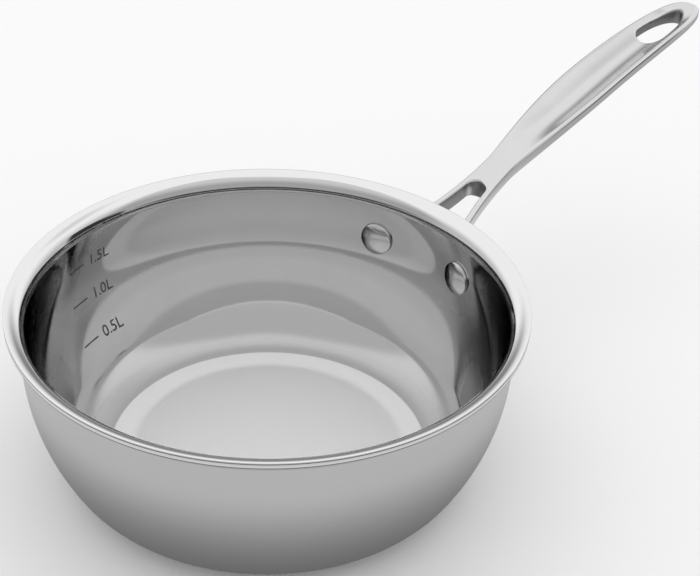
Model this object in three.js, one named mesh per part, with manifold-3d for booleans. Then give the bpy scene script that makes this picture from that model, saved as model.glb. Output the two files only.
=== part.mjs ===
// A deep saute pan: a three-ply clad bowl with a flared pouring lip, and a forked cast handle on two rivets.
// Millimetres, +Z up. The origin is on the bowl's axis at the underside of the base. The handle is along +X.

import * as THREE from 'three';
import { mergeVertices } from 'three/addons/utils/BufferGeometryUtils.js';
import Module from 'manifold-3d';

const wasm = await Module();
wasm.setup();

// Bowl
const panHeight = 80.4;
const bowlDiameter = 199.5; // outside, at the upright wall
const baseDiameter = 131; // the flat underside
const cornerRadius = 25.3; // outside, where the base turns up
const uprightBand = 11.7; // straight wall between the rounded side and the lip
const lipOverhang = 5.3; // how far the lip reaches past the wall, and the radius under it
const cornerLimit = 0.95; // largest share of the side that the corner may take

// Plies, from the outside in
const outerSkinThickness = 0.5;
const coreThickness = 1.8;
const innerSkinThickness = 0.5;
const bondLine = 0.02; // between one ply and the next

// Handle, seen from above: distances along X start at the outside of the upright wall
const legSpread = 32.6; // across the two legs where they reach the wall
const legWidth = 3.2;
const neckReach = 52;
const neckWidth = 14.6;
const forkWeb = 13.4; // solid metal between the fork's gap and the neck
const forkEndDepth = 4.8; // length of the gap's rounded end
const gripReach = 120.7; // the grip's widest place
const gripWidth = 26.6;
const handleReach = 211.5; // the tip

// Shape of the handle's outline, as shares of each stretch
const neckEase = 0.08; // the neck keeps its width for this share
const gripEase = 0.53; // the grip swells up to its width from here
const gripHold = 0.9; // the grip keeps its width for this share
const tipBluntness = 0.71;

// Handle, seen from the side: heights of its upper edges
const legDrop = 15.4; // below the rim, at the wall
const legPitch = 18.7; // degrees
const tipRise = 37.6; // above the rim
const tipPitch = 5; // degrees
const legHold = 0.37; // share of the length that keeps to the legs' pitch
const tipHold = 0.48; // share of the length that keeps to the tip's pitch

// Handle section
const dishDepth = 4.7; // hollow of the grip's upper face at its widest place
const legSide = 6.5; // height of the legs' sides at the wall
const gripSide = 5; // height of the sides where the grip is widest
const tipSide = 4.8; // height of the sides at the tip
const bellyDepth = 3.4; // roundness of the underside
const edgeChamfer = 1.3;
const chamferLimit = 0.33; // largest share of the half width that a chamfer may take

// Hanging eye
const eyeWidth = 14.4;
const eyeRoundLength = 5.8; // blunt end, nearer the pan
const eyeTaperLength = 27.2; // narrow end, nearer the tip
const eyeTipWall = 11.3;

// Feet of the legs, which follow the wall
const footHeight = 17;
const footReach = 4; // the foot's inner end is centred this far from its rivet
const footThickness = 4;

// Rivets
const rivetDrop = 24.1; // below the rim
const rivetSpacing = 48.6;
const rivetHeadDiameter = 15.2;
const rivetHeadHeight = 2.9;
const rivetHeadEdge = 1.1;
const rivetShankDiameter = 6;
const rivetTailDiameter = 10;
const rivetTailHeight = 2;

// Clearances
const fitGap = 0.3; // foot to wall, and rivet to foot and wall
const shankClearance = 0.3; // round a rivet's shank

// Fineness of the round stretches
const roundSegments = 60;
const cornerSteps = 4;
const sideSteps = 4;
const lipSteps = 5;
const rivetSegments = 24;
const domeSteps = 4;
const legStations = 9;
const gripStations = 8;
const tipStations = 14;
const outlineSteps = 12;
const bellySteps = 6;
const dishSteps = 8;
const mergeTolerance = 1e-4;
const curveTolerance = 1e-7;

const wall = outerSkinThickness + coreThickness + innerSkinThickness + 2 * bondLine;
const bowlRadius = bowlDiameter / 2;
const baseRadius = baseDiameter / 2;
const lipStart = panHeight - wall - lipOverhang;
const shoulderHeight = lipStart - uprightBand;

// The side is an arc that leaves the corner's arc and the upright wall without a break.
const roomForCorner = cornerLimit * Math.min(bowlRadius - baseRadius, shoulderHeight);
const corner = Math.min(cornerRadius, roomForCorner);
const cornerAngle = 2 * Math.atan2(shoulderHeight - corner, bowlRadius - baseRadius - corner) - Math.PI / 2;
const sideRadius = corner + (shoulderHeight - corner) / Math.cos(cornerAngle);

// Part of the bowl's section, from the axis to the lip's foot, at a depth under the outer surface.
function sideLine(depth) {
  const line = [new THREE.Vector2(0, depth)];
  for (let i = 0; i <= cornerSteps; i++) {
    const angle = (cornerAngle * i) / cornerSteps;
    const reach = corner - depth;
    line.push(new THREE.Vector2(baseRadius + reach * Math.sin(angle), corner - reach * Math.cos(angle)));
  }
  for (let i = 1; i <= sideSteps; i++) {
    const angle = cornerAngle + ((Math.PI / 2 - cornerAngle) * i) / sideSteps;
    const reach = sideRadius - depth;
    line.push(new THREE.Vector2(
      bowlRadius - sideRadius + reach * Math.sin(angle),
      shoulderHeight - reach * Math.cos(angle),
    ));
  }
  line.push(new THREE.Vector2(bowlRadius - depth, lipStart));
  return line;
}

// The whole section line: the side, then the lip that turns out until it lies level.
function bowlLine(depth) {
  const line = sideLine(depth);
  for (let i = 1; i <= lipSteps; i++) {
    const angle = ((Math.PI / 2) * i) / lipSteps;
    const reach = lipOverhang + depth;
    line.push(new THREE.Vector2(
      bowlRadius + lipOverhang - reach * Math.cos(angle),
      lipStart + reach * Math.sin(angle),
    ));
  }
  return line;
}

function lathe(profile, segments) {
  return new THREE.LatheGeometry(profile, segments).rotateX(Math.PI / 2);
}

function solidOf(geometry) {
  const bare = geometry.clone();
  bare.deleteAttribute('normal');
  bare.deleteAttribute('uv');
  const merged = mergeVertices(bare, mergeTolerance);
  const corners = merged.index.array;
  const triangles = [];
  for (let i = 0; i < corners.length; i += 3) {
    const [a, b, c] = corners.slice(i, i + 3);
    if (a !== b && b !== c && c !== a) triangles.push(a, b, c);
  }
  return new wasm.Manifold(new wasm.Mesh({
    numProp: 3,
    vertProperties: merged.attributes.position.array,
    triVerts: Uint32Array.from(triangles),
  }));
}

function geometryOf(solid) {
  const mesh = solid.getMesh();
  const geometry = new THREE.BufferGeometry();
  geometry.setAttribute('position', new THREE.BufferAttribute(mesh.vertProperties, 3));
  geometry.setIndex(new THREE.BufferAttribute(mesh.triVerts, 1));
  geometry.computeVertexNormals();
  return geometry;
}

// The bowl's outside, without its lip, as one filled body grown by a distance.
function filledBowl(growth) {
  const line = sideLine(-growth);
  line.push(new THREE.Vector2(0, lipStart));
  return solidOf(lathe(line, roundSegments));
}

// The place of a rivet: X runs round the wall, Y up it and Z out of it, from the wall's outer surface.
const rivetHeight = panHeight - rivetDrop;
const rivetTilt = Math.asin(THREE.MathUtils.clamp((shoulderHeight - rivetHeight) / sideRadius, 0, 1));
const rivetRadius = bowlRadius - sideRadius * (1 - Math.cos(rivetTilt));
const rivetAngle = Math.asin(rivetSpacing / 2 / rivetRadius);

function rivetPlace(side) {
  const angle = side * rivetAngle;
  const round = new THREE.Vector3(-Math.sin(angle), Math.cos(angle), 0);
  const out = new THREE.Vector3(
    Math.cos(angle) * Math.cos(rivetTilt),
    Math.sin(angle) * Math.cos(rivetTilt),
    -Math.sin(rivetTilt),
  );
  const up = new THREE.Vector3().crossVectors(out, round);
  return new THREE.Matrix4().makeBasis(round, up, out).setPosition(
    rivetRadius * Math.cos(angle),
    rivetRadius * Math.sin(angle),
    rivetHeight,
  );
}

// A hole for a rivet's shank, long enough for the wall and the foot.
function shankHole(side) {
  const radius = rivetShankDiameter / 2 + shankClearance;
  const reach = wall + footThickness + rivetHeadDiameter;
  const drill = new THREE.CylinderGeometry(radius, radius, 2 * reach, rivetSegments).rotateX(Math.PI / 2);
  return solidOf(drill.applyMatrix4(rivetPlace(side)));
}

// One ply of the bowl, between two depths under the outer surface.
function ply(depth, thickness) {
  const profile = [...bowlLine(depth), ...bowlLine(depth + thickness).reverse()];
  const solid = solidOf(lathe(profile, roundSegments));
  return geometryOf(solid.subtract(shankHole(1)).subtract(shankHole(-1)));
}

// A rivet: a domed head inside the bowl, a shank through wall and foot, and an upset tail outside.
// The flat seats keep clear of the round wall, whose facets stand a little inside the true circle.
function rivet(side) {
  const headRadius = rivetHeadDiameter / 2;
  const tailRadius = rivetTailDiameter / 2;
  const shankRadius = rivetShankDiameter / 2;
  const innerRadius = bowlRadius - wall;
  const seatRise = innerRadius - Math.sqrt(innerRadius ** 2 - headRadius ** 2);
  const facetRise = innerRadius * (1 - Math.cos(Math.PI / roundSegments));
  const headSeat = -(wall + seatRise + facetRise + fitGap);
  const tailSeat = fitGap + footThickness + fitGap;
  const crown = rivetHeadHeight - rivetHeadEdge;
  const profile = [];
  for (let i = 0; i <= domeSteps; i++) {
    const angle = ((Math.PI / 2) * i) / domeSteps;
    const y = headSeat - rivetHeadEdge - crown * Math.cos(angle);
    profile.push(new THREE.Vector2(headRadius * Math.sin(angle), y));
  }
  profile.push(new THREE.Vector2(headRadius, headSeat));
  profile.push(new THREE.Vector2(shankRadius, headSeat));
  profile.push(new THREE.Vector2(shankRadius, tailSeat));
  for (let i = domeSteps; i >= 0; i--) {
    const angle = ((Math.PI / 2) * i) / domeSteps;
    const y = tailSeat + rivetTailHeight * Math.cos(angle);
    profile.push(new THREE.Vector2(tailRadius * Math.sin(angle), y));
  }
  return lathe(profile, rivetSegments).applyMatrix4(rivetPlace(side));
}

// The handle's outline from above. The legs follow a parabola, the grip two curves that meet level.
const neckX = bowlRadius + neckReach;
const gripX = bowlRadius + gripReach;
const tipX = bowlRadius + handleReach;
const neckHalf = neckWidth / 2;
const gripHalf = gripWidth / 2;
const gripIn = new THREE.CubicBezierCurve(
  new THREE.Vector2(neckX, neckHalf),
  new THREE.Vector2(THREE.MathUtils.lerp(neckX, gripX, neckEase), neckHalf),
  new THREE.Vector2(THREE.MathUtils.lerp(neckX, gripX, gripEase), gripHalf),
  new THREE.Vector2(gripX, gripHalf),
);
const gripOut = new THREE.CubicBezierCurve(
  new THREE.Vector2(gripX, gripHalf),
  new THREE.Vector2(THREE.MathUtils.lerp(gripX, tipX, gripHold), gripHalf),
  new THREE.Vector2(tipX, tipBluntness * gripHalf),
  new THREE.Vector2(tipX, 0),
);

function legHalfWidth(x) {
  const share = (neckX - x) / neckReach;
  return neckHalf + (legSpread / 2 - neckHalf) * share ** 2;
}

// The line of the upper edges, seen from the side.
const rootX = bowlRadius - footThickness - wall;
const legSlope = Math.tan(THREE.MathUtils.degToRad(legPitch));
const tipSlope = Math.tan(THREE.MathUtils.degToRad(tipPitch));
const rootZ = panHeight - legDrop - legSlope * (bowlRadius - rootX);
const tipZ = panHeight + tipRise;
const legEase = legHold * (tipX - rootX);
const tipEase = tipHold * (tipX - rootX);
const edgeLine = new THREE.CubicBezierCurve(
  new THREE.Vector2(rootX, rootZ),
  new THREE.Vector2(rootX + legEase, rootZ + legEase * legSlope),
  new THREE.Vector2(tipX - tipEase, tipZ - tipEase * tipSlope),
  new THREE.Vector2(tipX, tipZ),
);

function edgeHeight(x) {
  let low = 0;
  let high = 1;
  while (high - low > curveTolerance) {
    const middle = (low + high) / 2;
    if (edgeLine.getPoint(middle).x < x) low = middle;
    else high = middle;
  }
  return edgeLine.getPoint(low).y;
}

function sideHeight(x) {
  const toGrip = THREE.MathUtils.smoothstep(x, bowlRadius, gripX);
  const toTip = THREE.MathUtils.smoothstep(x, gripX, tipX);
  return legSide + (gripSide - legSide) * toGrip + (tipSide - gripSide) * toTip;
}

// One section across the handle: a rounded underside, upright sides and a dished upper face.
function section(x, halfWidth) {
  const top = edgeHeight(x);
  const dish = dishDepth * (halfWidth / gripHalf) ** 2 * THREE.MathUtils.smoothstep(x, neckX, gripX);
  const side = sideHeight(x);
  const belly = bellyDepth * Math.min(1, halfWidth / neckHalf);
  const chamfer = Math.min(edgeChamfer, chamferLimit * halfWidth);
  const flat = 1 - chamfer / halfWidth;
  const place = (across, drop) => new THREE.Vector3(x, across * halfWidth, top - drop);
  const points = [];
  for (let i = 0; i <= bellySteps; i++) {
    const across = -Math.cos((Math.PI * i) / bellySteps);
    points.push(place(across, side + belly * (1 - across ** 2)));
  }
  points.push(place(1, chamfer));
  for (let i = 0; i <= dishSteps; i++) {
    const across = 1 - (2 * i) / dishSteps;
    points.push(place(across * flat, dish * (1 - across ** 2)));
  }
  points.push(place(-1, chamfer));
  return points;
}

// A body through a row of like sections, closed at both ends.
function loft(sections) {
  const count = sections[0].length;
  const last = (sections.length - 1) * count;
  const triangles = [];
  for (let i = 0; i < last; i += count) {
    for (let j = 0; j < count; j++) {
      const next = (j + 1) % count;
      triangles.push(i + j, i + next, i + count + next);
      triangles.push(i + j, i + count + next, i + count + j);
    }
  }
  for (let j = 1; j < count - 1; j++) {
    triangles.push(0, j + 1, j);
    triangles.push(last, last + j, last + j + 1);
  }
  const geometry = new THREE.BufferGeometry().setFromPoints(sections.flat());
  geometry.setIndex(triangles);
  return geometry;
}

function handleBody() {
  const sections = [];
  for (let i = 0; i < legStations; i++) {
    const x = THREE.MathUtils.lerp(rootX, neckX, i / legStations);
    sections.push(section(x, legHalfWidth(x)));
  }
  for (let i = 0; i < gripStations; i++) {
    const { x, y } = gripIn.getPoint(i / gripStations);
    sections.push(section(x, y));
  }
  for (let i = 0; i < tipStations; i++) {
    const { x, y } = gripOut.getPoint(Math.sin((Math.PI / 2) * (i / tipStations)));
    sections.push(section(x, y));
  }
  return solidOf(loft(sections));
}

// An upright cut through the whole handle.
function uprightCut(shape) {
  const cut = new THREE.ExtrudeGeometry(shape, {
    depth: tipZ + panHeight,
    bevelEnabled: false,
    curveSegments: outlineSteps,
  });
  return solidOf(cut);
}

// The gap between the legs, which keeps their width and ends round.
function forkGap() {
  const endX = neckX - forkWeb - forkEndDepth;
  const shape = new THREE.Shape();
  shape.moveTo(rootX, legWidth - legHalfWidth(rootX));
  for (let i = 1; i <= legStations; i++) {
    const x = THREE.MathUtils.lerp(rootX, endX, i / legStations);
    shape.lineTo(x, legWidth - legHalfWidth(x));
  }
  const endHalf = legHalfWidth(endX) - legWidth;
  shape.absellipse(endX, 0, forkEndDepth, endHalf, -Math.PI / 2, Math.PI / 2);
  for (let i = legStations - 1; i >= 0; i--) {
    const x = THREE.MathUtils.lerp(rootX, endX, i / legStations);
    shape.lineTo(x, legHalfWidth(x) - legWidth);
  }
  return uprightCut(shape);
}

function hangingEye() {
  const widestX = tipX - eyeTipWall - eyeTaperLength;
  const shape = new THREE.Shape();
  shape.absellipse(widestX, 0, eyeTaperLength, eyeWidth / 2, -Math.PI / 2, Math.PI / 2);
  shape.absellipse(widestX, 0, eyeRoundLength, eyeWidth / 2, Math.PI / 2, (3 * Math.PI) / 2);
  return uprightCut(shape);
}

// The plate at the end of a leg, round at both ends, between the wall and the foot's thickness.
function foot(side) {
  const radius = footHeight / 2;
  const inward = -side * footReach;
  const shape = new THREE.Shape();
  shape.absarc(Math.max(inward, 0), 0, radius, -Math.PI / 2, Math.PI / 2);
  shape.absarc(Math.min(inward, 0), 0, radius, Math.PI / 2, (3 * Math.PI) / 2);
  const depth = 2 * (footThickness + wall + radius);
  const plate = new THREE.ExtrudeGeometry(shape, { depth, bevelEnabled: false, curveSegments: outlineSteps });
  plate.translate(0, 0, -depth / 2);
  plate.applyMatrix4(rivetPlace(side));
  return solidOf(plate).intersect(filledBowl(fitGap + footThickness));
}

function handle() {
  const body = handleBody().subtract(forkGap()).subtract(hangingEye());
  const fitted = body.add(foot(1)).add(foot(-1)).subtract(filledBowl(fitGap));
  return geometryOf(fitted.subtract(shankHole(1)).subtract(shankHole(-1)));
}

function metal(color, roughness) {
  return new THREE.MeshStandardMaterial({ color, roughness, metalness: 1 });
}

const satinSteel = metal(0xb4b5b6, 0.38);
const polishedSteel = metal(0xc4c5c6, 0.12);
const bareAluminium = metal(0xa9abad, 0.45);
const castSteel = metal(0xd2d2d2, 0.2);

const coreDepth = outerSkinThickness + bondLine;
const innerDepth = coreDepth + coreThickness + bondLine;

const pieces = [
  ['outer_skin', ply(0, outerSkinThickness), satinSteel],
  ['aluminium_core', ply(coreDepth, coreThickness), bareAluminium],
  ['inner_skin', ply(innerDepth, innerSkinThickness), polishedSteel],
  ['handle', handle(), castSteel],
  ['left_rivet', rivet(-1), polishedSteel],
  ['right_rivet', rivet(1), polishedSteel],
];

const pan = new THREE.Group();
for (const [name, geometry, material] of pieces) {
  const mesh = new THREE.Mesh(geometry, material);
  mesh.name = name;
  pan.add(mesh);
}

export default pan;
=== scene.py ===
import math
import bmesh
import bpy
import numpy as np
from mathutils import Matrix, Vector


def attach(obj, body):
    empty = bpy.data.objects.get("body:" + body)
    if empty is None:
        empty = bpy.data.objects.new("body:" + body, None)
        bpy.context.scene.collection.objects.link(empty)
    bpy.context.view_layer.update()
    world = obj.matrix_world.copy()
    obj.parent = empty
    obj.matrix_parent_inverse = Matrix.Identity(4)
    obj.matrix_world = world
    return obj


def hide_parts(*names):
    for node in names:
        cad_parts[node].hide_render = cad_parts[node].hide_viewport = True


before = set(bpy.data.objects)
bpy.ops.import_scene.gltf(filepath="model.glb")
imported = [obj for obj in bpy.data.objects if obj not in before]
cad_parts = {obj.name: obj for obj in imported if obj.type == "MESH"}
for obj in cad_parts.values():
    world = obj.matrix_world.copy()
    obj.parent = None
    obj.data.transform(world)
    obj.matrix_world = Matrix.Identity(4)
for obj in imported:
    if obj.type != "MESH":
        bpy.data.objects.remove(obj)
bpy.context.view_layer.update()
print("frame loaded:", sorted(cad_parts))

scene = bpy.context.scene
scene.view_settings.view_transform = "Standard"

# camera at the photograph's place
photoCamera = {
    "target": (0.02651, -0.01955, 0.08037),
    "distance": 0.6,
    "azimuth": -49.107,  # degrees, 0 looks along +Y
    "elevation": 33.192,
    "roll": 2.433,
    "lens": 76.05,  # millimetres on a 36 mm sensor
    "sensor": 36.0,
}


def placeCamera(spec):
    data = bpy.data.cameras.new("photoCamera")
    data.sensor_fit = "HORIZONTAL"
    data.sensor_width = spec["sensor"]
    data.lens = spec["lens"]
    data.clip_start = 0.01
    camera = bpy.data.objects.new("photoCamera", data)
    scene.collection.objects.link(camera)
    turn = Matrix.Rotation(math.radians(spec["azimuth"]), 4, "Z")
    turn = turn @ Matrix.Rotation(math.radians(90 - spec["elevation"]), 4, "X")
    turn = turn @ Matrix.Rotation(math.radians(spec["roll"]), 4, "Z")
    back = Matrix.Translation((0, 0, spec["distance"]))
    camera.matrix_world = Matrix.Translation(spec["target"]) @ turn @ back
    scene.camera = camera


placeCamera(photoCamera)
print("camera placed")


# shader maths: a wrapped socket that takes Python's operators
class Wire:
    def __init__(self, tree, socket=None):
        self.tree = tree
        self.socket = socket

    def node(self, kind, settings=None, sockets=None, out=0):
        made = self.tree.nodes.new(kind)
        for name, value in (settings or {}).items():
            setattr(made, name, value)
        for name, value in (sockets or {}).items():
            if isinstance(value, Wire):
                self.tree.links.new(value.socket, made.inputs[name])
            else:
                made.inputs[name].default_value = value
        return Wire(self.tree, made.outputs[out])

    def maths(self, operation, first, second=0.0):
        return self.node("ShaderNodeMath", {"operation": operation}, {0: first, 1: second})

    def __add__(self, other):
        return self.maths("ADD", self, other)

    def __radd__(self, other):
        return self.maths("ADD", other, self)

    def __sub__(self, other):
        return self.maths("SUBTRACT", self, other)

    def __rsub__(self, other):
        return self.maths("SUBTRACT", other, self)

    def __mul__(self, other):
        return self.maths("MULTIPLY", self, other)

    def __rmul__(self, other):
        return self.maths("MULTIPLY", other, self)

    def __truediv__(self, other):
        return self.maths("DIVIDE", self, other)

    def __pow__(self, other):
        return self.maths("POWER", self, other)

    def spread(self, low, high):  # 0 to 1 becomes low to high
        return low + (high - low) * self

    def towards(self, other, share):
        return self + (other - self) * share

    def between(self, low, high):  # smooth 0 to 1 from low to high
        return self.node(
            "ShaderNodeMapRange",
            {"interpolation_type": "SMOOTHSTEP"},
            {"Value": self, "From Min": low, "From Max": high},
        )


# a metal finish: returns its material, its shader and its object coordinates
def newFinish(name):
    material = bpy.data.materials.new(name)
    material.use_nodes = True
    tree = material.node_tree
    shader = tree.nodes["Principled BSDF"]
    shader.inputs["Metallic"].default_value = 1.0
    start = Wire(tree)
    place = start.node("ShaderNodeTexCoord", out="Object")
    return material, shader, place


def feed(shader, name, wire):
    shader.id_data.links.new(wire.socket, shader.inputs[name])


def axisOf(place, index):
    return place.node("ShaderNodeSeparateXYZ", None, {0: place}, out=index)


def joinAxes(place, x, y, z):
    return place.node("ShaderNodeCombineXYZ", None, {0: x, 1: y, 2: z})


def noiseOn(place, scale, detail=2.0, roughness=0.5):
    sockets = {"Vector": place, "Scale": scale, "Detail": detail, "Roughness": roughness}
    return place.node("ShaderNodeTexNoise", None, sockets)


def greyFrom(wire, dark, light):
    mixed = {0: wire, 6: (*dark, 1), 7: (*light, 1)}  # 6 and 7 are the colour sockets
    return wire.node("ShaderNodeMix", {"data_type": "RGBA"}, mixed, out=2)


# distance from the bowl's axis
def radiusOf(place):
    x, y = axisOf(place, 0), axisOf(place, 1)
    return (x * x + y * y) ** 0.5


# fine lines that run round the bowl, a pitch apart, and break off more often with more turns
def turnedLines(place, pitch, turns):
    angle = place.maths("ARCTAN2", axisOf(place, 1), axisOf(place, 0))
    lines = joinAxes(place, radiusOf(place) / pitch, axisOf(place, 2) / pitch, angle * turns)
    return noiseOn(lines, 1.0, detail=3.0, roughness=0.6)


grainDepth = 0.00004  # of the brushed and the cast surfaces


def roughen(shader, height, strength, depth):
    bump = {"Strength": strength, "Distance": depth, "Height": height}
    feed(shader, "Normal", height.node("ShaderNodeBump", None, bump))


satinSteel = {
    "dark": (0.56, 0.56, 0.56),
    "light": (0.62, 0.62, 0.62),
    "roughness": (0.3, 0.36),
    "pitch": 0.0004,
    "turns": 9.0,
    "cloudScale": 22.0,
    "lineShare": 0.6,  # of the grey; the cloud has the rest
    "bump": 0.06,
}


def makeSatinSteel(spec):
    material, shader, place = newFinish("satinSteel")
    lines = turnedLines(place, spec["pitch"], spec["turns"])
    shade = noiseOn(place, spec["cloudScale"]).towards(lines, spec["lineShare"])
    feed(shader, "Base Color", greyFrom(shade, spec["dark"], spec["light"]))
    feed(shader, "Roughness", lines.spread(*spec["roughness"]))
    roughen(shader, lines, spec["bump"], grainDepth)
    return material


polishedSteel = {
    "wallGrey": (0.6, 0.64),
    "wallRoughness": (0.035, 0.055),
    "lipHighlightGrey": 0.83,
    "lipEdge": (0.0765, 0.0785),  # heights where the wall gives way to the lip, lightened as a painted highlight
    "upperShadeGrey": 0.49,
    "upperShadeEdge": (0.046, 0.055),  # heights where the wall turns a little darker, a painted shade
    "lowShadeGrey": 0.57,
    "lowShadeEdge": (0.012, 0.024),  # heights where the darker foot of the wall ends; this darker foot is painted shade
    "filletRoughness": 0.3,
    "filletEdge": (0.074, 0.087),  # radii where the fillet's satin gives way to the polish
    "floorGrey": (0.9, 0.96),
    "floorRoughness": (0.6, 0.68),
    "floorEdge": (0.0674, 0.0682),  # radii where the satin floor ends
    "ringHighlightGrey": 0.95,
    "ringHighlightMetal": 0.25,  # less metal, so the ring scatters light as a painted highlight
    "ringHighlightEdge": (0.056, 0.061),  # radii where the painted bright ring round the floor starts
    "floorTop": (0.02, 0.03),  # heights above which nothing counts as floor or fillet
    "pitch": 0.0005,
    "turns": 6.0,
    "smearScale": 35.0,
    "lineShare": 0.7,  # of the floor's grey; the smear has the rest
    "bump": 0.05,
}


def makePolishedSteel(spec):
    material, shader, place = newFinish("polishedSteel")
    radius = radiusOf(place)
    height = axisOf(place, 2)
    low = 1 - height.between(*spec["floorTop"])
    onFloor = (1 - radius.between(*spec["floorEdge"])) * low
    onFillet = (1 - radius.between(*spec["filletEdge"])) * low
    onHighlightRing = radius.between(*spec["ringHighlightEdge"])
    lines = turnedLines(place, spec["pitch"], spec["turns"])
    smear = noiseOn(place, spec["smearScale"], detail=3.0)
    wallGrey = smear.spread(*spec["wallGrey"])
    # the upper wall's darker grey is painted shade
    wallGrey = wallGrey.towards(spec["upperShadeGrey"], height.between(*spec["upperShadeEdge"]))
    # the lip's lighter grey is a painted highlight, not a different steel
    wallGrey = wallGrey.towards(spec["lipHighlightGrey"], height.between(*spec["lipEdge"]))
    # the darker foot of the wall is painted shade
    wallGrey = wallGrey.towards(spec["lowShadeGrey"], 1 - height.between(*spec["lowShadeEdge"]))
    floorGrey = smear.towards(lines, spec["lineShare"]).spread(*spec["floorGrey"])
    # the ring's near-white grey and lower metal paint a bright ring of light round the floor
    floorGrey = floorGrey.towards(spec["ringHighlightGrey"], onHighlightRing)
    feed(shader, "Base Color", wallGrey.towards(floorGrey, onFloor))
    feed(shader, "Metallic", (onFloor * onHighlightRing).spread(1.0, spec["ringHighlightMetal"]))
    roughness = smear.spread(*spec["wallRoughness"])
    roughness = roughness.towards(spec["filletRoughness"], onFillet)
    roughness = roughness.towards(lines.spread(*spec["floorRoughness"]), onFloor)
    feed(shader, "Roughness", roughness)
    roughen(shader, lines * onFloor, spec["bump"], grainDepth)
    return material


coreAluminium = {
    "grey": (0.82, 0.9),
    "roughness": (0.4, 0.55),
    "pitch": 0.00025,
    "turns": 12.0,
    "seamGrey": 0.08,
    "seamHeights": (0.0796, 0.0798),  # the cut edge darkens to its joints over these heights
    "middle": 0.07898,
}


def makeCoreAluminium(spec):
    material, shader, place = newFinish("coreAluminium")
    lines = turnedLines(place, spec["pitch"], spec["turns"])
    fromMiddle = place.maths("ABSOLUTE", axisOf(place, 2) - spec["middle"])
    seam = fromMiddle.between(*(h - spec["middle"] for h in spec["seamHeights"]))
    feed(shader, "Base Color", lines.spread(*spec["grey"]).towards(spec["seamGrey"], seam))
    feed(shader, "Roughness", lines.spread(*spec["roughness"]))
    return material


rivetSteel = {
    "dark": (0.52, 0.52, 0.52),
    "light": (0.64, 0.64, 0.64),
    "roughness": (0.12, 0.2),
    "smearScale": 260.0,
    "bump": 0.12,
    "bumpDepth": 0.0002,
}


def makeRivetSteel(spec):
    material, shader, place = newFinish("rivetSteel")
    smear = noiseOn(place, spec["smearScale"], detail=3.0)
    feed(shader, "Base Color", greyFrom(smear, spec["dark"], spec["light"]))
    feed(shader, "Roughness", smear.spread(*spec["roughness"]))
    roughen(shader, smear, spec["bump"], spec["bumpDepth"])
    return material


etchedMark = {
    "dark": (0.035, 0.035, 0.036),
    "light": (0.07, 0.07, 0.072),
    "roughness": (0.5, 0.7),
    "speckleScale": 2500.0,
}


def makeEtchedMark(spec):
    material, shader, place = newFinish("etchedMark")
    shader.inputs["Metallic"].default_value = 0.0
    speckle = noiseOn(place, spec["speckleScale"])
    feed(shader, "Base Color", greyFrom(speckle, spec["dark"], spec["light"]))
    feed(shader, "Roughness", speckle.spread(*spec["roughness"]))
    return material


finishes = {
    "satin_steel": makeSatinSteel(satinSteel),
    "polished_steel": makePolishedSteel(polishedSteel),
    "core_aluminium": makeCoreAluminium(coreAluminium),
    "rivet_steel": makeRivetSteel(rivetSteel),
}
markFinish = makeEtchedMark(etchedMark)
print("bowl finishes made:", len(finishes) + 1)

sharpAngle = 40  # degrees past which an edge stays sharp
snap = 1e-6  # lengths closer than this count as the same
mergeDistance = 1e-7


# a finished piece: smooth, on its body, in its finish
def newPiece(name, bm, finish):
    mesh = bpy.data.meshes.new(name)
    bm.to_mesh(mesh)
    bm.free()
    mesh.shade_smooth()
    mesh.set_sharp_from_angle(angle=math.radians(sharpAngle))
    mesh.materials.append(finish)
    piece = bpy.data.objects.new(name, mesh)
    scene.collection.objects.link(piece)
    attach(piece, "root")
    print("made", name, len(mesh.polygons), "faces")
    return piece


# adds one bmesh to another
def joinInto(whole, part):
    mesh = bpy.data.meshes.new("joined")
    part.to_mesh(mesh)
    part.free()
    whole.from_mesh(mesh)
    bpy.data.meshes.remove(mesh)


# draws a section in the XZ plane from one vertex, by extruding and spinning its tip
class SectionPen:
    def __init__(self, bm, x, z):
        self.bm = bm
        self.tip = bm.verts.new((x, 0, z))

    def lineTo(self, x, z):
        self.tip = bmesh.ops.extrude_vert_indiv(self.bm, verts=[self.tip])["verts"][0]
        self.tip.co = (x, 0, z)

    def arc(self, x, z, angle, steps):
        swept = bmesh.ops.spin(
            self.bm, geom=[self.tip], cent=(x, 0, z), axis=(0, -1, 0), angle=angle, steps=steps
        )
        self.tip = [v for v in swept["geom_last"] if isinstance(v, bmesh.types.BMVert)][0]


# spins the drawn section right round the Z axis and closes its poles
def spinRound(bm, segments):
    bmesh.ops.spin(
        bm,
        geom=bm.verts[:] + bm.edges[:],
        cent=(0, 0, 0),
        axis=(0, 0, 1),
        angle=2 * math.pi,
        steps=segments,
        use_merge=True,
    )
    bmesh.ops.remove_doubles(bm, verts=bm.verts[:], dist=mergeDistance)
    bmesh.ops.recalc_face_normals(bm, faces=bm.faces[:])


def roundEdges(bm, edges, width, segments):
    bmesh.ops.bevel(
        bm,
        geom=edges,
        offset=width,
        offset_type="OFFSET",
        affect="EDGES",
        segments=segments,
        profile=0.5,
        material=-1,
        clamp_overlap=True,
    )


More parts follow.
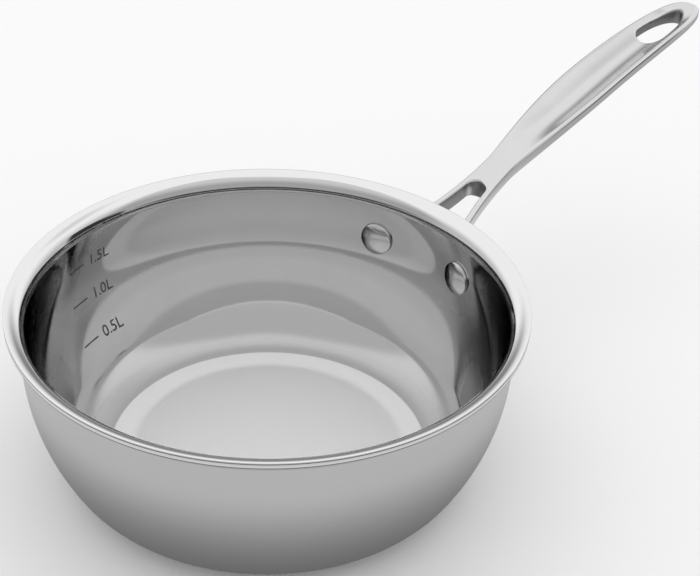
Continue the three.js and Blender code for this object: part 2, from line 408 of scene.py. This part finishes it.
bowl = {
    "height": 0.0804,
    "radius": 0.09975,  # outside, at the upright wall
    "baseRadius": 0.0655,
    "corner": 0.0253,
    "band": 0.0117,  # upright wall under the lip
    "lip": 0.0053,
    "outerSkin": 0.0005,
    "core": 0.0018,
    "innerSkin": 0.0005,
    "bond": 0.00002,
    "edgeRound": 0.00042,  # the lip's two corners
    "edgeSteps": 4,
    "jointRound": 0.00008,  # the plies' edges between them
    "jointSteps": 2,
    "jointAngle": 1.2,  # radians past which an edge still counts as sharp
    "segments": 256,
    "cornerSteps": 20,
    "sideSteps": 18,
    "lipSteps": 18,
}
wallThickness = bowl["outerSkin"] + bowl["core"] + bowl["innerSkin"] + 2 * bowl["bond"]
lipStart = bowl["height"] - wallThickness - bowl["lip"]
shoulder = lipStart - bowl["band"]
cornerRun = bowl["radius"] - bowl["baseRadius"] - bowl["corner"]
cornerAngle = 2 * math.atan2(shoulder - bowl["corner"], cornerRun) - math.pi / 2
sideRadius = bowl["corner"] + (shoulder - bowl["corner"]) / math.cos(cornerAngle)


# radius and lean of the bowl's side at a height, at a depth under its outer surface
def wallAt(z, depth):
    lean = math.asin(max(0.0, min(1.0, (shoulder - z) / (sideRadius - depth))))
    return bowl["radius"] - sideRadius + (sideRadius - depth) * math.cos(lean), lean


# the level edges round the lip's cut face
def lipEdges(bm, lipX):
    rim = [e for e in bm.edges if all(abs(v.co.xy.length - lipX) < snap for v in e.verts)]
    return [e for e in rim if abs(e.verts[0].co.z - e.verts[1].co.z) < snap]


# rounds a ply's edges at the lip: the corner on one side (1 upper, -1 lower) more than the joints
def roundLip(bm, lipX, side):
    if side:
        rim = lipEdges(bm, lipX)
        corner = side * max(side * e.verts[0].co.z for e in rim)
        atCorner = [e for e in rim if abs(e.verts[0].co.z - corner) < snap]
        roundEdges(bm, atCorner, bowl["edgeRound"], bowl["edgeSteps"])
    joint = [e for e in lipEdges(bm, lipX) if len(e.link_faces) == 2]
    joint = [e for e in joint if e.calc_face_angle() > bowl["jointAngle"]]
    roundEdges(bm, joint, bowl["jointRound"], bowl["jointSteps"])


def makePly(name, node, slotName, depth, thickness, side):
    bm = bmesh.new()
    sideX = bowl["radius"] - sideRadius
    lipX = bowl["radius"] + bowl["lip"]
    sideTurn = math.pi / 2 - cornerAngle
    inside = depth + thickness
    pen = SectionPen(bm, 0, depth)
    pen.lineTo(bowl["baseRadius"], depth)
    pen.arc(bowl["baseRadius"], bowl["corner"], cornerAngle, bowl["cornerSteps"])
    pen.arc(sideX, shoulder, sideTurn, bowl["sideSteps"])
    pen.lineTo(bowl["radius"] - depth, lipStart)
    pen.arc(lipX, lipStart, -math.pi / 2, bowl["lipSteps"])
    pen.lineTo(lipX, lipStart + bowl["lip"] + inside)
    pen.arc(lipX, lipStart, math.pi / 2, bowl["lipSteps"])
    pen.lineTo(bowl["radius"] - inside, shoulder)
    pen.arc(sideX, shoulder, -sideTurn, bowl["sideSteps"])
    pen.arc(bowl["baseRadius"], bowl["corner"], -cornerAngle, bowl["cornerSteps"])
    pen.lineTo(0, inside)
    spinRound(bm, bowl["segments"])
    roundLip(bm, lipX, side)
    piece = newPiece(name, bm, finishes[slotName])
    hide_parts(node)


coreDepth = bowl["outerSkin"] + bowl["bond"]
innerDepth = coreDepth + bowl["core"] + bowl["bond"]
makePly("outerSkin", "outer_skin", "satin_steel", 0.0, bowl["outerSkin"], -1)
makePly("aluminiumCore", "aluminium_core", "core_aluminium", coreDepth, bowl["core"], 0)
makePly("innerSkin", "inner_skin", "polished_steel", innerDepth, bowl["innerSkin"], 1)

rivet = {
    "drop": 0.0241,  # below the rim
    "spacing": 0.0486,
    "headRadius": 0.0076,
    "headHeight": 0.0029,
    "headEdge": 0.0011,
    "shankRadius": 0.003,
    "tailRadius": 0.005,
    "tailHeight": 0.002,
    "gap": 0.0003,
    "segments": 64,
    "domeSteps": 12,
    "edgeRound": 0.0003,
    "edgeSteps": 3,
    "edgeAngle": 0.35,  # radians past which an edge is rounded
    "edgeStart": 0.0033,  # radius past which edges are rounded
}
footThickness = 0.004


# the place of a rivet: X round the wall, Y up it, Z out of it
def rivetPlace(side):
    z = bowl["height"] - rivet["drop"]
    reach, lean = wallAt(z, 0.0)
    angle = side * math.asin(rivet["spacing"] / 2 / reach)
    turn = Matrix.Rotation(angle, 4, "Z") @ Matrix.Rotation(math.pi / 2, 4, "Z")
    turn = turn @ Matrix.Rotation(math.pi / 2 + lean, 4, "X")
    return Matrix.Translation((reach * math.cos(angle), reach * math.sin(angle), z)) @ turn


def makeRivet(name, node, side):
    bm = bmesh.new()
    innerRadius = bowl["radius"] - wallThickness
    seatRise = innerRadius - math.sqrt(innerRadius**2 - rivet["headRadius"] ** 2)
    headSeat = -(wallThickness + seatRise)
    tailSeat = footThickness + 2 * rivet["gap"]
    crown = rivet["headHeight"] - rivet["headEdge"]
    domeRadius = (rivet["headRadius"] ** 2 + crown**2) / (2 * crown)
    domeTurn = math.asin(rivet["headRadius"] / domeRadius)
    tailDome = (rivet["tailRadius"] ** 2 + rivet["tailHeight"] ** 2) / (2 * rivet["tailHeight"])
    tailTurn = math.asin(rivet["tailRadius"] / tailDome)
    top = headSeat - rivet["headHeight"]
    pen = SectionPen(bm, 0, top)
    pen.arc(0, top + domeRadius, domeTurn, rivet["domeSteps"])
    pen.lineTo(rivet["headRadius"], headSeat)
    pen.lineTo(rivet["shankRadius"], headSeat)
    pen.lineTo(rivet["shankRadius"], tailSeat)
    pen.lineTo(rivet["tailRadius"], tailSeat)
    pen.arc(0, tailSeat + rivet["tailHeight"] - tailDome, tailTurn, rivet["domeSteps"])
    spinRound(bm, rivet["segments"])
    rims = [e for e in bm.edges if e.is_manifold and e.calc_face_angle() > rivet["edgeAngle"]]
    rims = [e for e in rims if max(v.co.xy.length for v in e.verts) > rivet["edgeStart"]]
    roundEdges(bm, rims, rivet["edgeRound"], rivet["edgeSteps"])
    bmesh.ops.transform(bm, matrix=rivetPlace(side), verts=bm.verts[:])
    piece = newPiece(name, bm, finishes["rivet_steel"])
    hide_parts(node)


makeRivet("leftRivet", "left_rivet", -1)
makeRivet("rightRivet", "right_rivet", 1)

handle = {
    "legSpread": 0.0326,
    "legWidth": 0.0032,
    "rootRoom": 0.004,  # the outline starts this far inside the root
    "neckReach": 0.052,
    "neckWidth": 0.0146,
    "forkWeb": 0.0134,
    "forkEnd": 0.0048,
    "gripReach": 0.1207,
    "gripWidth": 0.0266,
    "reach": 0.2115,
    "neckEase": 0.08,
    "gripEase": 0.53,
    "gripHold": 0.9,
    "tipBluntness": 0.71,
    "legDrop": 0.0154,
    "legPitch": 18.7,
    "tipRise": 0.0376,
    "tipPitch": 5.0,
    "legHold": 0.37,
    "tipHold": 0.48,
    "dish": 0.0042,
    "dishEase": 1.15,
    "dishRim": 0.0017,
    "dishSwell": 1.4,  # the dish deepens by this power of the width
    "dishStart": 0.006,  # before the neck
    "dishFull": 0.7,  # share of the way from neck to grip
    "dishFade": (0.014, 0.002),  # before and past the eye's narrow end
    "legSide": 0.0065,
    "gripSide": 0.005,
    "tipSide": 0.0048,
    "belly": 0.0034,
    "eyeWidth": 0.0144,
    "eyeRound": 0.0058,
    "eyeTaper": 0.0272,
    "eyeTipWall": 0.0113,
    "legRound": 0.0011,  # radii of the edges
    "gripRound": 0.0019,
    "openingRound": 0.0011,
    "underRound": 0.0012,
    "edgeShare": 0.38,  # the most of a narrow station that one rounded edge takes
    "roundSteps": 5,
    "acrossSteps": 14,
    "legSteps": 20,
    "forkSteps": 14,
    "gripSteps": 52,
    "eyeBluntSteps": 16,
    "eyeNarrowSteps": 30,
    "tipSteps": 12,
    "tipStep": 0.0002,
    "forkShift": 0.006,  # the outline's point lies this far past the gap's end,
    "eyeShift": 0.004,  # this far before the eye's start
    "tipShift": 0.003,  # and this far before the tip
    "footHeight": 0.017,
    "footReach": 0.004,
    "footSegments": 48,
    "footRings": 4,
    "footRingWidth": 0.0016,
    "footRound": 0.0008,
    "footRoundSteps": 3,
    "footEdgeAngle": 0.7,  # radians past which an edge is rounded
}
neckX = bowl["radius"] + handle["neckReach"]
gripX = bowl["radius"] + handle["gripReach"]
tipX = bowl["radius"] + handle["reach"]
rootX = bowl["radius"] - footThickness - wallThickness
neckHalf = handle["neckWidth"] / 2
gripHalf = handle["gripWidth"] / 2
eyeEnd = tipX - handle["eyeTipWall"]
eyeX = eyeEnd - handle["eyeTaper"]
forkX = neckX - handle["forkWeb"] - handle["forkEnd"]
lineSteps = {"leg": 120, "swell": 240, "tip": 600, "edge": 800, "gap": 60, "quarter": 60}
leastWidth = 1e-5  # keeps a division by a width off zero


def bezier(a, b, c, d, count):
    t = np.linspace(0, 1, count)[:, None]
    a, b, c, d = (np.array(p) for p in (a, b, c, d))
    return a * (1 - t) ** 3 + 3 * b * t * (1 - t) ** 2 + 3 * c * t**2 * (1 - t) + d * t**3


def mix(a, b, share):
    return a + (b - a) * share


def smoothstep(x, low, high):
    t = np.clip((x - low) / (high - low), 0, 1)
    return t * t * (3 - 2 * t)


# half the width over both legs
def legHalf(x):
    spread = handle["legSpread"] / 2 - neckHalf
    return neckHalf + spread * ((neckX - x) / handle["neckReach"]) ** 2


# the handle's outline from above, and the line of its upper edges from the side
legX = np.linspace(rootX - handle["rootRoom"], neckX, lineSteps["leg"])
legLine = np.stack([legX, legHalf(legX)], 1)
swellLine = bezier(
    (neckX, neckHalf),
    (mix(neckX, gripX, handle["neckEase"]), neckHalf),
    (mix(neckX, gripX, handle["gripEase"]), gripHalf),
    (gripX, gripHalf),
    lineSteps["swell"],
)
tipLine = bezier(
    (gripX, gripHalf),
    (mix(gripX, tipX, handle["gripHold"]), gripHalf),
    (tipX, handle["tipBluntness"] * gripHalf),
    (tipX, 0),
    lineSteps["tip"],
)
outline = np.concatenate([legLine, swellLine[1:], tipLine[1:]])
outlineRun = np.concatenate([[0], np.cumsum(np.linalg.norm(np.diff(outline, axis=0), axis=1))])
legSlope = math.tan(math.radians(handle["legPitch"]))
tipSlope = math.tan(math.radians(handle["tipPitch"]))
rootZ = bowl["height"] - handle["legDrop"] - legSlope * (bowl["radius"] - rootX)
tipZ = bowl["height"] + handle["tipRise"]
legEase = handle["legHold"] * (tipX - rootX)
tipEase = handle["tipHold"] * (tipX - rootX)
edgeLine = bezier(
    (rootX, rootZ),
    (rootX + legEase, rootZ + legEase * legSlope),
    (tipX - tipEase, tipZ - tipEase * tipSlope),
    (tipX, tipZ),
    lineSteps["edge"],
)

# the edges of the fork's gap and of the hanging eye, seen from above
forkHalf = legHalf(forkX) - handle["legWidth"]
quarter = np.linspace(0, math.pi / 2, lineSteps["quarter"])
gapX = np.linspace(rootX, forkX, lineSteps["gap"])
gapEnd = np.stack([forkX + handle["forkEnd"] * np.sin(quarter), forkHalf * np.cos(quarter)], 1)
gapLine = np.concatenate([np.stack([gapX, legHalf(gapX) - handle["legWidth"]], 1), gapEnd])
eyeHalf = handle["eyeWidth"] / 2
eyeBlunt = np.stack([eyeX - handle["eyeRound"] * np.cos(quarter), eyeHalf * np.sin(quarter)], 1)
eyeNarrow = np.stack([eyeX + handle["eyeTaper"] * np.sin(quarter), eyeHalf * np.cos(quarter)], 1)
eyeLine = np.concatenate([eyeBlunt, eyeNarrow])


# how far points lie from a line of short straight runs
def distanceTo(line, x, y):
    near = np.full(len(x), 1.0)
    for (ax, ay), (bx, by) in zip(line[:-1], line[1:]):
        length = (bx - ax) ** 2 + (by - ay) ** 2 + 1e-18  # never quite zero
        share = np.clip(((x - ax) * (bx - ax) + (y - ay) * (by - ay)) / length, 0, 1)
        near = np.minimum(near, np.hypot(x - mix(ax, bx, share), y - mix(ay, by, share)))
    return near


# how far a rounded edge lies below the face at a distance from the edge
def edgeDrop(distance, radius):
    inward = np.clip(radius - distance, 0, radius)
    return radius - np.sqrt(radius**2 - inward**2)


# heights of the upper face and of the underside at points seen from above
def handleHeights(x, y):
    y = np.abs(y)
    half = np.maximum(np.interp(x, outline[:, 0], outline[:, 1]), leastWidth)
    across = np.minimum(1, y / half)
    inDish = np.minimum(1, y / np.maximum(half - handle["dishRim"], leastWidth))
    edge = np.interp(x, edgeLine[:, 0], edgeLine[:, 1])
    dish = handle["dish"] * (half / gripHalf) ** handle["dishSwell"]
    fadeBefore, fadePast = handle["dishFade"]
    full = mix(neckX, gripX, handle["dishFull"])
    risen = smoothstep(x, neckX - handle["dishStart"], full)
    dish *= risen - smoothstep(x, eyeEnd - fadeBefore, eyeEnd + fadePast)
    side = mix(handle["legSide"], handle["gripSide"], smoothstep(x, bowl["radius"], gripX))
    side += (handle["tipSide"] - handle["gripSide"]) * smoothstep(x, gripX, tipX)
    belly = handle["belly"] * np.minimum(1, half / neckHalf)
    outer = distanceTo(outline, x, y)
    opening = np.minimum(distanceTo(gapLine, x, y), distanceTo(eyeLine, x, y))
    rim = mix(handle["legRound"], handle["gripRound"], smoothstep(x, forkX, gripX))
    top = edge - dish * (1 - inDish**2) ** handle["dishEase"]
    top -= edgeDrop(outer, rim) + edgeDrop(opening, handle["openingRound"])
    under = edge - side - belly * (1 - across**2)
    under += edgeDrop(outer, handle["underRound"]) + edgeDrop(opening, handle["underRound"])
    return top, under


castSteel = {
    "grey": (0.68, 0.74),
    "roughness": (0.17, 0.24),
    "bump": 0.05,
    "strokeScale": 900.0,
    "strokeStretch": (0.08, 1.0, 1.0),  # polishing strokes run along the handle
    "cloudScale": 60.0,
    "greyCloud": 0.6,  # the cloud's share of the grey and of the roughness
    "roughnessCloud": 0.5,
    "rawShadeGrey": (0.2, 0.42),  # walls of the gap and the eye, left as cast, their dark grey painted shade
    "rawRoughness": 0.42,
    "rawAndShadedEdge": (1.0, 1.14),  # 1 is the opening's edge
    "pitScale": 700.0,
    "pitDepth": 10,  # times the strokes' depth
}


def makeCastSteel(spec):
    material, shader, place = newFinish("castSteel")
    x, y = axisOf(place, 0), axisOf(place, 1)
    pastEye = x - eyeX
    narrow = place.maths("GREATER_THAN", pastEye, 0.0)
    eyeReach = narrow.spread(handle["eyeRound"], handle["eyeTaper"])
    inEye = (pastEye / eyeReach) ** 2 + (y / eyeHalf) ** 2
    pastFork = place.maths("MAXIMUM", x - forkX, 0.0)
    gapHalf = legHalf(x) - handle["legWidth"]
    inGap = (pastFork / handle["forkEnd"]) ** 2 + (y / gapHalf) ** 2
    # the walls of the gap and the eye are rough and pitted as cast, and their dark grey is painted
    # shade in these openings
    rawAndShaded = 1 - place.maths("MINIMUM", inEye, inGap).between(*spec["rawAndShadedEdge"])
    stretch = {"Vector": place, "Scale": spec["strokeStretch"]}
    along = place.node("ShaderNodeMapping", None, stretch)
    strokes = noiseOn(along, spec["strokeScale"], detail=3.0, roughness=0.6)
    cloud = noiseOn(place, spec["cloudScale"])
    pits = noiseOn(place, spec["pitScale"], detail=4.0, roughness=0.7)
    grey = strokes.towards(cloud, spec["greyCloud"]).spread(*spec["grey"])
    feed(shader, "Base Color", grey.towards(pits.spread(*spec["rawShadeGrey"]), rawAndShaded))
    roughness = strokes.towards(cloud, spec["roughnessCloud"]).spread(*spec["roughness"])
    feed(shader, "Roughness", roughness.towards(spec["rawRoughness"], rawAndShaded))
    roughen(shader, strokes.towards(spec["pitDepth"] * pits, rawAndShaded), spec["bump"], grainDepth)
    return material


finishes["cast_steel"] = makeCastSteel(castSteel)
print("handle finish made")


# the way along the outline to its point at x, and the point at a way along it
def runAt(x):
    return float(np.interp(x, outline[:, 0], outlineRun))


def outlineAt(run):
    return [float(np.interp(run, outlineRun, outline[:, axis])) for axis in (0, 1)]


# distances over a rounded edge, closest together at the edge itself
def roundedSteps(radius):
    steps = handle["roundSteps"]
    return [radius * (1 - math.cos(math.pi / 2 * k / steps)) for k in range(steps + 1)]


# stations along half the handle: a point on the inner line (gap, eye or middle), one on the outline
def handleStations():
    stations = []
    near = roundedSteps(handle["openingRound"])[1:]
    forkTip = forkX + handle["forkEnd"]
    forkOut = forkTip + handle["forkShift"]
    eyeStart = eyeX - handle["eyeRound"]
    eyeOut = eyeStart - handle["eyeShift"]
    wallEnd = bowl["radius"] + rivet["gap"]
    legStart = math.sqrt(wallEnd**2 - (handle["legSpread"] / 2) ** 2)
    for i in range(handle["legSteps"]):  # leg, whose end follows the wall
        x = mix(legStart, forkX, i / handle["legSteps"])
        inner = [x, legHalf(x) - handle["legWidth"]]
        if i == 0:
            inner[0] = math.sqrt(wallEnd**2 - inner[1] ** 2)
        stations.append((inner, outlineAt(runAt(x))))
    for i in range(handle["forkSteps"]):  # round end of the gap
        share = i / handle["forkSteps"]
        turn = math.pi / 2 * share
        inner = (forkX + handle["forkEnd"] * math.sin(turn), forkHalf * math.cos(turn))
        stations.append((inner, outlineAt(runAt(mix(forkX, forkOut, share)))))
    middle = [forkTip] + [forkTip + d for d in near]
    flatStart, flatEnd, count = middle[-1], eyeStart - near[-1], handle["gripSteps"]
    middle += [mix(flatStart, flatEnd, i / count) for i in range(1, count)]
    middle += [eyeStart - d for d in reversed(near)]
    for i, x in enumerate(middle):  # neck and grip
        run = runAt(mix(forkOut, eyeOut, i / len(middle)))
        stations.append(((x, 0.0), outlineAt(run)))
    for i in range(handle["eyeBluntSteps"]):  # blunt end of the eye
        share = i / handle["eyeBluntSteps"]
        turn = math.pi / 2 * share
        inner = (eyeX - handle["eyeRound"] * math.cos(turn), eyeHalf * math.sin(turn))
        stations.append((inner, outlineAt(runAt(mix(eyeOut, eyeX, share)))))
    lastRun = runAt(tipX - handle["tipShift"])
    for i in range(handle["eyeNarrowSteps"]):  # narrow end of the eye
        share = i / handle["eyeNarrowSteps"]
        turn = math.pi / 2 * share
        inner = (eyeX + handle["eyeTaper"] * math.sin(turn), eyeHalf * math.cos(turn))
        stations.append((inner, outlineAt(mix(runAt(eyeX), lastRun, share))))
    tipWay = [0.0] + near
    tipWay += [near[-1] + handle["tipStep"] * k for k in range(1, handle["tipSteps"])]
    for i, d in enumerate(tipWay):  # tip, where the last station lies on the middle line
        run = mix(lastRun, outlineRun[-1], i / (len(tipWay) - 1))
        stations.append(((eyeEnd + d, 0.0), outlineAt(run)))
    return stations


# distances across a station, close together on the rounded edges
def acrossShares(width):
    edge = min(handle["gripRound"], handle["edgeShare"] * width)
    curve = roundedSteps(edge)[:-1]
    count = handle["acrossSteps"]
    flat = [mix(edge, width - edge, k / count) for k in range(count + 1)]
    return curve + flat + [width - d for d in reversed(curve)]


def makeHandle():
    bm = bmesh.new()
    stations = handleStations()
    rows = len(acrossShares(1.0)) - 1
    along = len(stations) - 1
    bmesh.ops.create_grid(bm, x_segments=along, y_segments=rows, size=0.5)
    for v in bm.verts:  # the grid's columns become stations, its rows run across
        i = round((v.co.x + 0.5) * along)
        j = round((v.co.y + 0.5) * rows)
        inner, outer = (Vector(p) for p in stations[i])
        width = (outer - inner).length
        spot = inner + (outer - inner) * (acrossShares(width)[j] / width)
        v.co = (spot.x, spot.y, 0)
    halfHandle = bm.verts[:] + bm.edges[:] + bm.faces[:]
    bmesh.ops.mirror(bm, geom=halfHandle, axis="Y", merge_dist=snap)
    bmesh.ops.remove_doubles(bm, verts=bm.verts[:], dist=mergeDistance)
    bmesh.ops.recalc_face_normals(bm, faces=bm.faces[:])
    if sum(f.normal.z for f in bm.faces) < 0:
        bmesh.ops.reverse_faces(bm, faces=bm.faces[:])
    under = bm.verts[:]
    grown = bmesh.ops.extrude_face_region(bm, geom=bm.faces[:], use_keep_orig=True)["geom"]
    upper = [v for v in grown if isinstance(v, bmesh.types.BMVert)]
    for verts, face in ((upper, 0), (under, 1)):
        spots = np.array([v.co.xy for v in verts])
        for v, z in zip(verts, handleHeights(spots[:, 0], spots[:, 1])[face]):
            v.co.z = z
    bmesh.ops.recalc_face_normals(bm, faces=bm.faces[:])
    addFoot(bm, 1)
    addFoot(bm, -1)
    piece = newPiece("handle", bm, finishes["cast_steel"])
    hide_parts("handle")


# a leg's foot: a flat plate, round at both ends, bent to the wall
def addFoot(bm, side):
    plate = bmesh.new()
    bmesh.ops.create_circle(
        plate, cap_ends=True, segments=handle["footSegments"], radius=handle["footHeight"] / 2
    )
    for v in plate.verts:
        if v.co.x * side < 0:
            v.co.x -= side * handle["footReach"]
    for _ in range(handle["footRings"]):
        widest = max(plate.faces, key=lambda f: len(f.verts))
        bmesh.ops.inset_region(
            plate, faces=[widest], thickness=handle["footRingWidth"], use_even_offset=True
        )
    grown = bmesh.ops.extrude_face_region(plate, geom=plate.faces[:], use_keep_orig=True)["geom"]
    raised = [v for v in grown if isinstance(v, bmesh.types.BMVert)]
    bmesh.ops.translate(plate, vec=(0, 0, footThickness), verts=raised)
    bmesh.ops.recalc_face_normals(plate, faces=plate.faces[:])
    rims = [e for e in plate.edges if e.is_manifold]
    rims = [e for e in rims if e.calc_face_angle() > handle["footEdgeAngle"]]
    roundEdges(plate, rims, handle["footRound"], handle["footRoundSteps"])
    centreZ = bowl["height"] - rivet["drop"]
    centreTurn = side * math.asin(rivet["spacing"] / 2 / wallAt(centreZ, 0.0)[0])
    for v in plate.verts:
        z = centreZ + v.co.y
        reach = wallAt(z, 0.0)[0] + rivet["gap"] + v.co.z
        turn = centreTurn + v.co.x / bowl["radius"]
        v.co = (reach * math.cos(turn), reach * math.sin(turn), z)
    bmesh.ops.recalc_face_normals(plate, faces=plate.faces[:])
    joinInto(bm, plate)


makeHandle()

marks = {
    "litres": ("0.5L", "1.0L", "1.5L"),
    "heights": (0.0254, 0.0437, 0.0602),
    "startTurn": (108.73, 108.01, 107.57),  # degrees round the bowl, where each tick starts
    "tickLength": 0.0102,
    "tickWidth": 0.0007,
    "tickSteps": 10,
    "textGap": 0.0034,
    "textHeight": 0.0072,
    "textWeight": 0.00007,
    "lift": 0.00005,
}


# wraps a flat drawing onto the inner wall: X runs round it, Y up it
def wrapOnWall(bm, turn, height):
    for v in bm.verts:
        z = height + v.co.y
        reach = wallAt(z, wallThickness)[0] - marks["lift"]
        angle = turn - v.co.x / reach
        v.co = (reach * math.cos(angle), reach * math.sin(angle), z)


def newTick():
    tick = bmesh.new()
    bmesh.ops.create_grid(tick, x_segments=marks["tickSteps"], y_segments=1, size=0.5)
    size = (marks["tickLength"], marks["tickWidth"], 1)
    bmesh.ops.scale(tick, vec=size, verts=tick.verts[:])
    bmesh.ops.translate(tick, vec=(marks["tickLength"] / 2, 0, 0), verts=tick.verts[:])
    return tick


def newLetters(label):
    words = bpy.data.curves.new("litreText", "FONT")
    words.body = label
    words.size = marks["textHeight"]
    words.offset = marks["textWeight"]
    words.align_y = "CENTER"
    carrier = bpy.data.objects.new("litreText", words)
    scene.collection.objects.link(carrier)
    shaped = carrier.evaluated_get(bpy.context.evaluated_depsgraph_get())
    flat = bpy.data.meshes.new_from_object(shaped)
    bpy.data.objects.remove(carrier)
    bpy.data.curves.remove(words)
    letters = bmesh.new()
    letters.from_mesh(flat)
    bpy.data.meshes.remove(flat)
    start = marks["tickLength"] + marks["textGap"]
    bmesh.ops.translate(letters, vec=(start, 0, 0), verts=letters.verts[:])
    return letters


def makeMarks():
    whole = bmesh.new()
    for label, height, start in zip(marks["litres"], marks["heights"], marks["startTurn"]):
        for drawing in (newTick(), newLetters(label)):
            wrapOnWall(drawing, math.radians(start), height)
            joinInto(whole, drawing)
    piece = newPiece("litreMarks", whole, markFinish)
    piece.visible_glossy = False  # too fine a print to show again in the wall opposite


makeMarks()

studio = {
    "floorSize": 40.0,  # so wide that no low view shows its edge
    "floorDrop": 0.0002,  # just under the base
    "floorGrey": 0.96,
    "worldLevel": 0.9,
    "softboxSize": (1.6, 0.9),
    "softboxPlace": (0, 0.35, 1.2),  # seen from the camera: right, away, up
    "softboxPower": 2.0,
    "cardDistance": 1.5,
    "cardSpacing": 0.05,  # so that no two cards touch
    "cardSegments": 16,
}

# grey table top that only reflections see: it glows, darkest under the pan, where the glow is a
# painted shadow
tableCard = {
    "size": 3.6,
    "drop": 0.0001,
    "near": 0.16,
    "middle": 0.82,
    "far": 0.5,
    "paintedShadowEdge": (0.065, 0.18),  # distances from the bowl's axis; over the first, the painted shadow lifts
    "farEdge": (0.2, 0.32),
}

# bent cards that only reflections see: degrees to the right of straight away, degrees up, grey,
# the first and last bounce of the light that they stop, and the share over which an edge fades
cards = {
    "deepCard": {
        "turn": (106, 229), "rise": (16, 44), "grey": 0.05, "bounces": (4, 99), "fade": 0.2
    },
    "thirdCard": {
        "turn": (178, 254), "rise": (29, 48), "grey": 0.02, "bounces": (3, 3), "fade": 0.2
    },
    "tentCard": {
        "turn": (85, 275), "rise": (14, 84), "grey": 0.68, "bounces": (1, 1), "fade": 0.1
    },
    "roomCard": {
        "turn": (80, 280), "rise": (-6, 20), "grey": 0.1, "bounces": (1, 99), "fade": 0.3
    },
    "awayCard": {
        "turn": (-27, 21), "rise": (-12, 38), "grey": 0.25, "bounces": (1, 1), "fade": 0.4
    },
    "rightCard": {
        "turn": (66, 106), "rise": (-6, 25), "grey": 0.06, "bounces": (1, 1), "fade": 0.15
    },
    "overheadCard": {
        "turn": (15, 60), "rise": (38, 64), "grey": 0.75, "bounces": (1, 1), "fade": 0.45
    },
}


# a stage material that is matt, or that glows and reflects nothing
def newStageMaterial(name, grey):
    material = bpy.data.materials.new(name)
    material.use_nodes = True
    shader = material.node_tree.nodes["Principled BSDF"]
    shader.inputs["Base Color"].default_value = (grey, grey, grey, 1)
    shader.inputs["Roughness"].default_value = 1.0
    shader.inputs["Specular IOR Level"].default_value = 0.0
    return material, shader


def makeTableGlow(spec):
    material, shader = newStageMaterial("tableGlow", 0.0)
    place = Wire(material.node_tree).node("ShaderNodeTexCoord", out="Object")
    radius = radiusOf(place)
    # the dark glow near the axis is a painted shadow of the pan
    level = radius.between(*spec["paintedShadowEdge"]).spread(spec["near"], spec["middle"])
    feed(shader, "Emission Color", level.towards(spec["far"], radius.between(*spec["farEdge"])))
    shader.inputs["Emission Strength"].default_value = 1.0
    return material


def makeCardGlow(name, spec):
    material, shader = newStageMaterial(name, 0.0)
    depth = Wire(material.node_tree).node("ShaderNodeLightPath", out="Ray Depth")
    first, last = spec["bounces"]
    met = depth.maths("GREATER_THAN", depth, first - 0.5)
    met = met * depth.maths("LESS_THAN", depth, last + 0.5)
    spot = depth.node("ShaderNodeTexCoord", out="UV")
    fade, grey = spec["fade"], spec["grey"]
    for axis in (axisOf(spot, 0), axisOf(spot, 1)):
        met = met * axis.between(0.0, fade) * (1 - axis.between(1 - fade, 1.0))
    feed(shader, "Alpha", met)
    shader.inputs["Emission Color"].default_value = (grey, grey, grey, 1)
    shader.inputs["Emission Strength"].default_value = 1.0
    return material


def newSheet(name, size, segments, material):
    bm = bmesh.new()
    bm.loops.layers.uv.new("sheet")
    bmesh.ops.create_grid(
        bm, x_segments=segments, y_segments=segments, size=size / 2, calc_uvs=True
    )
    mesh = bpy.data.meshes.new(name)
    bm.to_mesh(mesh)
    bm.free()
    mesh.materials.append(material)
    sheet = bpy.data.objects.new(name, mesh)
    scene.collection.objects.link(sheet)
    return sheet


def onlyReflected(sheet):
    sheet.visible_camera = False
    sheet.visible_diffuse = False
    sheet.visible_shadow = False


def makeStudio(spec):
    floorFinish = newStageMaterial("paleFloor", spec["floorGrey"])[0]
    floor = newSheet("floor", spec["floorSize"], 1, floorFinish)
    floor.location.z = -spec["floorDrop"]
    table = newSheet("tableCard", tableCard["size"], 1, makeTableGlow(tableCard))
    table.location.z = -tableCard["drop"]
    onlyReflected(table)
    facing = Matrix.Rotation(math.radians(photoCamera["azimuth"]), 4, "Z")
    for i, (name, card) in enumerate(cards.items()):
        sheet = newSheet(name, 1.0, spec["cardSegments"], makeCardGlow(name, card))
        distance = spec["cardDistance"] + spec["cardSpacing"] * i
        for v in sheet.data.vertices:  # bent round the pan
            turn = math.radians(mix(*card["turn"], v.co.x + 0.5))
            rise = math.radians(mix(*card["rise"], v.co.y + 0.5))
            level = distance * math.cos(rise)
            v.co = (level * math.sin(turn), level * math.cos(turn), distance * math.sin(rise))
        sheet.matrix_world = facing
        onlyReflected(sheet)

    world = bpy.data.worlds.new("studioWorld")
    world.use_nodes = True
    light = world.node_tree.nodes["Background"]
    light.inputs["Color"].default_value = (1, 1, 1, 1)
    path = Wire(world.node_tree)
    rays = ("Camera", "Glossy", "Transmission")
    seen = [path.node("ShaderNodeLightPath", out=f"Is {ray} Ray") for ray in rays]
    white = path.maths("MAXIMUM", path.maths("MAXIMUM", seen[0], seen[1]), seen[2])
    strength = white.spread(spec["worldLevel"], 1.0)
    world.node_tree.links.new(strength.socket, light.inputs["Strength"])
    scene.world = world

    lamp = bpy.data.lights.new("softbox", "AREA")
    lamp.shape = "RECTANGLE"
    lamp.size, lamp.size_y = spec["softboxSize"]
    lamp.energy = spec["softboxPower"]
    softbox = bpy.data.objects.new("softbox", lamp)
    softbox.matrix_world = facing @ Matrix.Translation(spec["softboxPlace"])
    softbox.visible_glossy = False
    scene.collection.objects.link(softbox)


makeStudio(studio)
print("studio ready")
